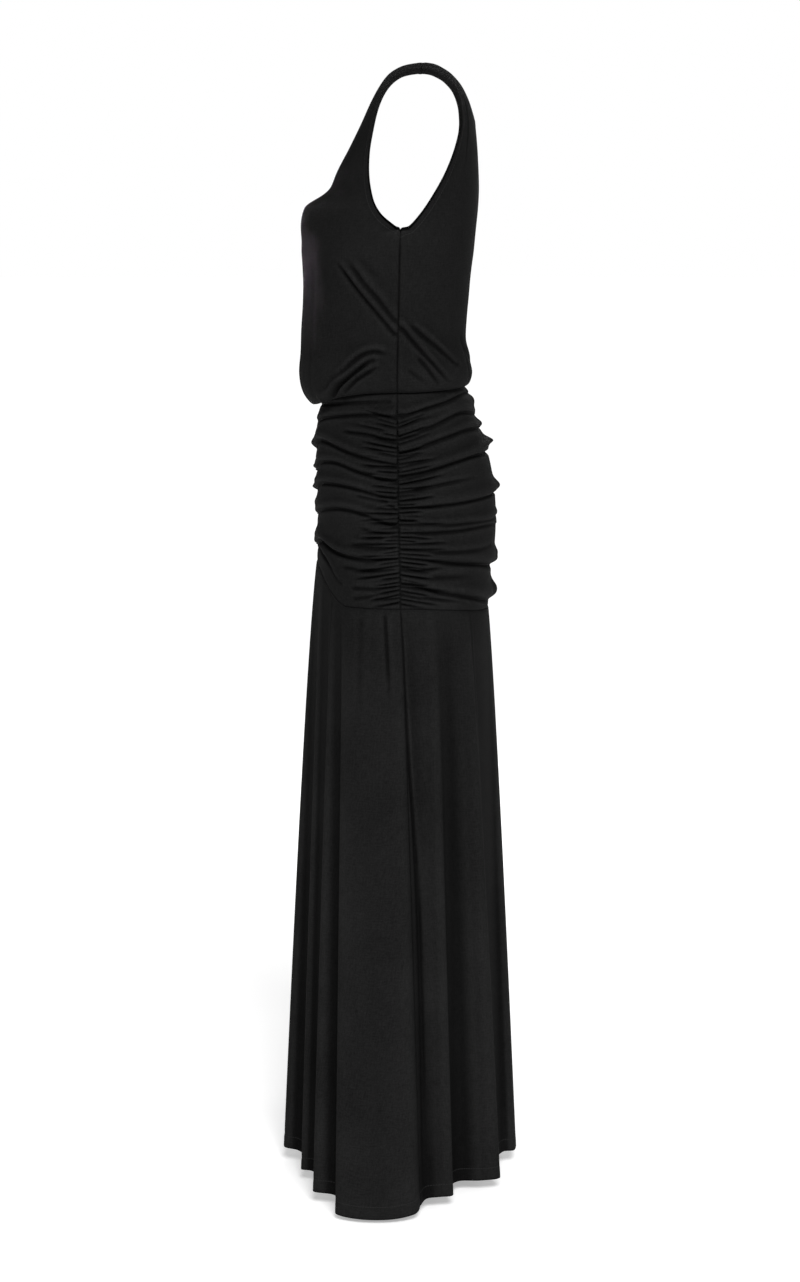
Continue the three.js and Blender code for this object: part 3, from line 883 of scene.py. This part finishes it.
@dataclass
class Panel:
    """A cut panel of the dress: one thin wall of cloth, built from its two mirrored halves.

    Attributes:
        side: Front or back.
        flat: Width and length of the rectangle it is cut from, in metres.
        area: Area of its cut shape, in square metres.
        columns: Faces across each half.
        rows: Faces down.
        reach: Millimetres of cloth from the centre line to the side seam, for its creases.
        creases: Its creases, of both halves.
        part: What this kind of panel is called.
        stem: How the names of its solids begin.
        slot: The slot its finish goes by.
        hold: How it is held up.
        calm: Parts at the top, the foot and the side in which the creases ease off; 0 is none.
        seam_depth: How far the cloth sinks in at its seams, in millimetres.
        looks: How its relief is measured: points down, points across, and the millimetres that count as 1.
    """

    side: Side
    flat: tuple[float, float]
    area: float
    columns: int
    rows: int
    reach: float
    creases: list[Crease]

    part: ClassVar[str]
    stem: ClassVar[str]
    slot: ClassVar[str] = "jersey"
    hold: ClassVar[Hold] = Hold.HUNG
    calm: ClassVar[tuple[float, float, float]]
    seam_depth: ClassVar[float] = 1.0
    looks: ClassVar[tuple[tuple[float, float, float], ...]]

    @property
    def name(self) -> str:
        """Return the name of the piece."""
        return f"{self.side.value}_{self.part}_cloth"

    def base(self) -> np.ndarray:
        """Return the smooth half panel as rows of columns of points, centre line first."""
        raise NotImplementedError

    def borders(self, points: np.ndarray) -> list[Border]:
        """Return the side seam of the half panel, and the seams at its top and its foot."""
        return [Border(points[:, -1]), Border(points[0]), Border(points[-1])]

    def calmed(self, share: np.ndarray) -> np.ndarray:
        """Return how strongly the creases act at each point, 0 to 1."""
        top, foot, side = self.calm
        down = np.linspace(0, 1, len(share))[:, None]
        acting = smooth((1 - share) / side)
        for way, reach in ((down, top), (1 - down, foot)):
            if reach > 0:
                acting = acting * smooth(way / reach)
        return acting

    @staticmethod
    def outward(points: np.ndarray) -> np.ndarray:
        """Return the level direction away from the middle of the body at each point."""
        away = points - np.array([0, SIDE_SEAM_Y, 0])
        away[..., 2] = 0
        return away / np.maximum(1e-6, np.linalg.norm(away, axis=-1, keepdims=True))

    @staticmethod
    def normals(points: np.ndarray, outward: np.ndarray) -> np.ndarray:
        """Return the direction that the surface faces at each point, away from the body."""
        facing = np.cross(np.gradient(points, axis=1), np.gradient(points, axis=0))
        facing[..., 0] = np.where(points[..., 0] < ON_CENTRE, 0, facing[..., 0])
        facing /= np.maximum(1e-9, np.linalg.norm(facing, axis=-1, keepdims=True))
        return facing if np.sum(facing * outward) >= 0 else -facing

    def relief(self, points: np.ndarray, facing: np.ndarray) -> np.ndarray:
        """Measure how far the cloth stands out of its surroundings, above 0 on a ridge.

        Args:
            points: The shaped half panel.
            facing: The direction that each point faces.

        Returns:
            The measure at each point, -1 to 1.
        """
        total = np.zeros(points.shape[:2])
        for down, across, unit in self.looks:
            near = points
            for axis, span in ((0, down), (1, across)):
                if span > 0:
                    near = averaged(near, axis, int(3 * span), 1.414 * span, "reflect")
            total += np.clip(((points - near) * facing).sum(-1) / unit, -1, 1)
        return np.clip(total, -1, 1)

    def shaped(self, points: np.ndarray, sign: int) -> tuple[np.ndarray, np.ndarray, np.ndarray]:
        """Lay the creases and the edges into one half.

        Args:
            points: The smooth half panel, on the wearer's left.
            sign: 1 for the left half, -1 for the right one.

        Returns:
            The shaped half in its place, the stitching coordinates and the relief of each point.
        """
        share = np.linspace(0, 1, points.shape[1])[None, :].repeat(points.shape[0], 0)
        around = sign * share * self.reach
        stand = sum(crease.stand(around, points[..., 2], self.reach) for crease in self.creases)
        outward = self.outward(points)
        moved = points + outward * (stand * self.calmed(share))[..., None]
        moved[..., 0] = np.where(points[..., 0] < ON_CENTRE, points[..., 0], moved[..., 0])
        facing = self.normals(moved, outward)
        stitching = np.full((*share.shape, 2), 0.5)
        nearest = np.full(share.shape, FAR)
        lift, sunk = np.zeros((2, *share.shape))
        for border in self.borders(points):
            distance, along = line_distance(points, border.line)
            if border.made is Edge.SEAM:
                sunk = np.maximum(sunk, bell(distance / SEAM_BEND))
            elif border.made is Edge.SHOULDER:
                lift -= SHOULDER_DIP * bell(distance / SEAM_BEND)
            else:
                inside = distance - border.inset
                lift += EDGE_LIFT * (1 - smooth(inside / EDGE_EASE))
                lift -= border.groove * bell(inside / GROOVE_WIDTH)
                nearer = (distance < nearest)[..., None]
                nearest = np.minimum(distance, nearest)
                stitching = np.where(nearer, np.stack((along, inside), -1) * MM, stitching)
        made = moved + facing * lift[..., None] - outward * (self.seam_depth * sunk)[..., None]
        # This relief is stored on the mesh and paints shade into the troughs and a highlight onto the ridges
        # of the colour.
        relief = self.relief(made, facing)
        made[..., 0] *= sign
        return made, stitching, relief

    def lay(self, bm: bmesh.types.BMesh) -> None:
        """Lay both halves into an empty mesh, with their places in the cloth, stitching and relief."""
        base = self.base()
        halves = [self.shaped(base, sign) for sign in (1, -1)]
        relief_layer = bm.verts.layers.float.new("Relief")
        order = []
        for half, (shaped, _, relief) in enumerate(halves):
            grid = bmesh.ops.create_grid(bm, x_segments=self.columns, y_segments=self.rows, size=1.0)
            for vert in grid["verts"]:
                column = round((vert.co.x + 1) / 2 * self.columns)
                row = round((1 - vert.co.y) / 2 * self.rows)
                vert.co = Vector(shaped[row, column] * MM)
                vert[relief_layer] = relief[row, column]
                order.append((half, row, column))
        across = run_along(base, 1)
        down = run_along(base[:, base.shape[1] // 2])
        cloth_layer, stitching_layer = (bm.loops.layers.uv.new(name) for name in ("Cloth", "Stitching"))
        bm.verts.index_update()
        for face in bm.faces:
            face.smooth = True
            for loop in face.loops:
                half, row, column = order[loop.vert.index]
                sign = -1 if half else 1
                loop[cloth_layer].uv = (sign * across[row, column] * MM, -down[row] * MM)
                loop[stitching_layer].uv = halves[half][1][row, column]

    @staticmethod
    def face_out(bm: bmesh.types.BMesh) -> None:
        """Turn every face the same way, away from the middle of the body."""
        bmesh.ops.recalc_face_normals(bm, faces=bm.faces[:])
        middle = Vector((0, SIDE_SEAM_Y * MM, 0))
        facing = 0.0
        for face in bm.faces:
            away = face.calc_center_median() - middle
            away.z = 0
            facing += face.normal.dot(away)
        if facing < 0:
            bmesh.ops.reverse_faces(bm, faces=bm.faces[:])

    def build(self, material: bpy.types.Material) -> bpy.types.Object:
        """Make the panel's object.

        Args:
            material: Its finish.

        Returns:
            The object, in its place.
        """
        bm = bmesh.new()
        self.lay(bm)
        bmesh.ops.remove_doubles(bm, verts=bm.verts[:], dist=1e-6)
        self.face_out(bm)
        mesh = bpy.data.meshes.new(self.name)
        bm.to_mesh(mesh)
        bm.free()
        piece = put(self.name, mesh)
        mesh.materials.append(material)
        wall = piece.modifiers.new("cloth", "SOLIDIFY")
        wall.thickness = CLOTH_THICKNESS * MM
        wall.offset = -1
        wall.use_even_offset = False
        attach(piece, "root")
        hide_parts(f"{self.stem}_{self.side.value}")
        LOG.info("%s: %d faces before its thickness", self.name, len(mesh.polygons))
        return piece

    def even_rows(self, sections: Sections, last: int) -> np.ndarray:
        """Spread rows evenly down a table of sections and columns evenly along each row.

        Args:
            sections: Gives points of a side for places across and places down.
            last: The number of the table's last row.

        Returns:
            Rows of columns of points.
        """
        places = np.linspace(0, last, 400)
        spine = sum(sections(self.side, np.full_like(places, t), places) for t in (0.0, 0.5, 1.0)) / 3
        run = run_along(spine)
        down = np.interp(np.linspace(0, run[-1], self.rows + 1), run, places)
        fine = np.linspace(0, 1, 161)
        length = run_along(sections(self.side, *np.meshgrid(fine, down)), 1)
        share = np.linspace(0, 1, self.columns + 1)
        even = np.stack([np.interp(share * row[-1], row, fine) for row in length])
        return sections(self.side, even, np.repeat(down[:, None], self.columns + 1, 1))


@dataclass
class BodicePanel(Panel):
    """Front or back of the bloused bodice, from the shoulder seam to the waist seam."""

    part: ClassVar[str] = "bodice"
    stem: ClassVar[str] = "bodice"
    calm: ClassVar[tuple[float, float, float]] = (0, 0.05, 0.02)
    looks: ClassVar[tuple[tuple[float, float, float], ...]] = ((1.8, 1.5, 1.5), (4.0, 3.5, 6.0))

    def base(self) -> np.ndarray:
        """Return the smooth half bodice."""
        points = self.eased(self.even_rows(bodice_point, len(BODICE[self.side]["turn"]) - 1))
        if self.side is Side.FRONT:
            points[..., 1] -= Bust().stand(points)
        return points

    @staticmethod
    def eased(points: np.ndarray) -> np.ndarray:
        """Ease the surface between its sections, away from its edges.

        Args:
            points: The half bodice.

        Returns:
            The eased half.
        """
        share = np.linspace(0, 1, points.shape[1])[None, :, None]
        rows = np.linspace(0, 1, points.shape[0])[:, None, None]
        across = smooth((1 - share) / 0.18) * smooth(share / 0.2)
        for half, strength in (
            (12, smooth(rows / 0.1) * smooth((0.86 - rows) / 0.06)),
            (36, smooth((rows - 0.34) / 0.08) * smooth((0.74 - rows) / 0.1)),
        ):
            points = mix(points, averaged(points, 0, half, half / 2, "edge"), strength * across)
        return points

    def borders(self, points: np.ndarray) -> list[Border]:
        """Return the neck edge, the armhole, the side seam, the shoulder seam and the waist seam."""
        neck_foot = int((points[:, 0, 0] > 0.5).sum())
        armhole_foot = int(np.argmax(points[:, -1, 2] < ARMHOLE_FOOT_Z))
        return [
            Border(points[: neck_foot + 1, 0], Edge.TURNED),
            Border(points[: armhole_foot + 1, -1], Edge.TURNED),
            Border(points[armhole_foot:, -1]),
            Border(points[0], Edge.SHOULDER),
            Border(points[-1]),
        ]


@dataclass
class HipPanel(Panel):
    """Front or back of the ruched hip panel."""

    part: ClassVar[str] = "hip"
    stem: ClassVar[str] = "hip_panel"
    slot: ClassVar[str] = "ruched_jersey"
    hold: ClassVar[Hold] = Hold.GATHERED
    calm: ClassVar[tuple[float, float, float]] = (0.045, 0.035, 0.016)
    seam_depth: ClassVar[float] = 0.5
    looks: ClassVar[tuple[tuple[float, float, float], ...]] = ((2.0, 1.2, 1.0), (5.0, 3.0, 3.5))

    def base(self) -> np.ndarray:
        """Return the smooth half panel."""
        return self.even_rows(hip_point, HIP_LAST)


@dataclass
class SkirtPanel(Panel):
    """Front or back of the long skirt, which falls from the hip panel in folds that widen to the hem."""

    part: ClassVar[str] = "skirt"
    stem: ClassVar[str] = "skirt"
    calm: ClassVar[tuple[float, float, float]] = (0.02, 0, 0.01)
    looks: ClassVar[tuple[tuple[float, float, float], ...]] = ((0.0, 2.2, 1.3), (0.0, 7.0, 12.0))

    def base(self) -> np.ndarray:
        """Return the half skirt, with columns that follow its folds."""
        places = np.linspace(0, len(FOLDS[self.side]["along"]) - 1, 600)
        run = run_along(skirt_point(self.side, places, np.ones_like(places)))
        place = np.interp(np.linspace(0, run[-1], self.columns + 1), run, places)
        return skirt_point(self.side, *np.meshgrid(place, np.linspace(0, 1, self.rows + 1)))

    def borders(self, points: np.ndarray) -> list[Border]:
        """Return the side seam, the seam of the hip panel and the hem."""
        return super().borders(points)[:2] + [Border(points[-1], Edge.TURNED, HEM_STITCHING, HEM_GROOVE)]


@dataclass(frozen=True)
class Studio:
    """A pale floor, soft lights and the camera."""

    camera_at: Place = (4.0, -0.0285, -0.152)
    tilt_down: float = 8.33
    lens: float = 87.33
    floor_z: float = -1.4335
    floor_size: float = 40.0
    middle: Place = (0, 0, -0.7)

    def camera(self) -> None:
        """Place the camera at the wearer's left side, looking slightly down."""
        data = bpy.data.cameras.new("camera")
        data.sensor_width = 36
        data.sensor_fit = "AUTO"
        data.lens = self.lens
        camera = put("camera", data)
        camera.location = self.camera_at
        camera.rotation_euler = (math.radians(90 - self.tilt_down), 0, math.radians(90))
        bpy.context.scene.camera = camera

    @staticmethod
    def lamp(data: bpy.types.Light, place: Place, aim: Place) -> None:
        """Hang a lamp in its place and turn it to what it points at."""
        lamp = put(data.name, data)
        lamp.location = place
        lamp.rotation_euler = (Vector(aim) - Vector(place)).to_track_quat("-Z", "Y").to_euler()

    def panel_light(self, name: str, place: Place, watts: float) -> None:
        """Place a large square soft light that points at the middle of the dress.

        Args:
            name: Its name.
            place: Where it stands.
            watts: Its power.
        """
        data = bpy.data.lights.new(name, "AREA")
        data.size = 1.6
        data.energy = watts
        self.lamp(data, place, self.middle)

    def lights(self) -> None:
        """Set up the key light, three large soft lights and a narrow one on the front of the bodice."""
        key = bpy.data.lights.new("key", "SUN")
        key.angle = math.radians(22)
        key.energy = 3.05
        self.lamp(key, (2.8, 0.35, 2.4), (0, 0, 0))
        rim = bpy.data.lights.new("front_rim", "AREA")
        rim.size = 0.1
        rim.spread = math.radians(7)
        rim.energy = 0.06
        rim.color = (1, 0.84, 1)
        self.lamp(rim, (-1.2, -1.1, 0.04), (0, -0.16, -0.222))
        self.panel_light("front", (0.6, -3.2, 0.6), 10)
        self.panel_light("back", (-0.4, 3.2, 0.8), 12)
        self.panel_light("far_side", (-3.0, 0.2, 0.4), 24)

    def floor(self) -> None:
        """Lay the floor, which gives off a little light of its own so that it stays pale."""
        bm = bmesh.new()
        bmesh.ops.create_grid(bm, x_segments=8, y_segments=8, size=self.floor_size)
        for vert in bm.verts:
            vert.co.z = self.floor_z
        mesh = bpy.data.meshes.new("floor")
        bm.to_mesh(mesh)
        bm.free()
        material = bpy.data.materials.new("pale_floor")
        material.use_nodes = True
        parts = ShaderParts(material.node_tree)
        where = parts.add("ShaderNodeTexCoord").outputs["Object"]
        parts.fill(material.node_tree.nodes["Principled BSDF"], {
            "Base Color": parts.ramp(parts.noise(where, 3, 3), (0, 1), (0.78, 0.84)),
            "Roughness": 0.9,
            "Specular IOR Level": 0.1,
            "Emission Color": (1, 1, 1, 1),
            "Emission Strength": 0.4,
        })
        mesh.materials.append(material)
        put("floor", mesh)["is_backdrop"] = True

    def surroundings(self) -> None:
        """Make the world white to the camera, and a weak light to everything else."""
        world = bpy.data.worlds.new("studio")
        bpy.context.scene.world = world
        world.use_nodes = True
        parts = ShaderParts(world.node_tree)
        seen = parts.add("ShaderNodeLightPath").outputs["Is Camera Ray"]
        back = world.node_tree.nodes["Background"]
        parts.fill(back, {"Color": (1, 1, 1, 1), "Strength": parts.ramp(seen, (0, 1), (0.2, 1.0))})

    def build(self) -> None:
        """Set up the whole studio."""
        bpy.context.scene.view_settings.view_transform = "Standard"
        self.surroundings()
        self.camera()
        self.floor()
        self.lights()


def dress_panels() -> list[Panel]:
    """Return the six cut panels of the dress."""
    front, back = Side.FRONT, Side.BACK
    front_hip = both_sides(FRONT_HIP_CREASES) + Gathers(front, rise=0.22).rows()
    back_hip = both_sides(BACK_HIP_CREASES) + Gathers(back, rise=0.34).rows()
    return [
        BodicePanel(front, (0.46, 0.47), 0.150, 94, 220, 215, both_sides(FRONT_BODICE_CREASES)),
        BodicePanel(back, (0.40, 0.45), 0.134, 80, 200, 190, both_sides(BACK_BODICE_CREASES)),
        HipPanel(front, (0.45, 0.36), 0.158, 78, 250, 215, front_hip),
        HipPanel(back, (0.46, 0.40), 0.176, 78, 250, 225, back_hip),
        SkirtPanel(front, (0.90, 0.80), 0.52, 125, 150, 330, both_sides(FRONT_SKIRT_CREASES)),
        SkirtPanel(back, (0.68, 0.80), 0.42, 100, 150, 330, both_sides(BACK_SKIRT_CREASES)),
    ]


def main(cad_box: Sequence[Sequence[float]]) -> None:
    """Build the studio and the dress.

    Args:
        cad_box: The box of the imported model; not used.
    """
    logging.basicConfig(level=logging.INFO, format="%(name)s: %(message)s")
    Studio().build()
    effects = JerseyEffects()
    finishes = {
        "jersey": JerseyFinish("black_jersey").make(effects),
        "ruched_jersey": JerseyFinish("black_ruched_jersey", gloss=0.012).make(effects),
    }
    for panel in dress_panels():
        panel.build(finishes[panel.slot])


if __name__ == "__main__":
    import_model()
    main(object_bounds())
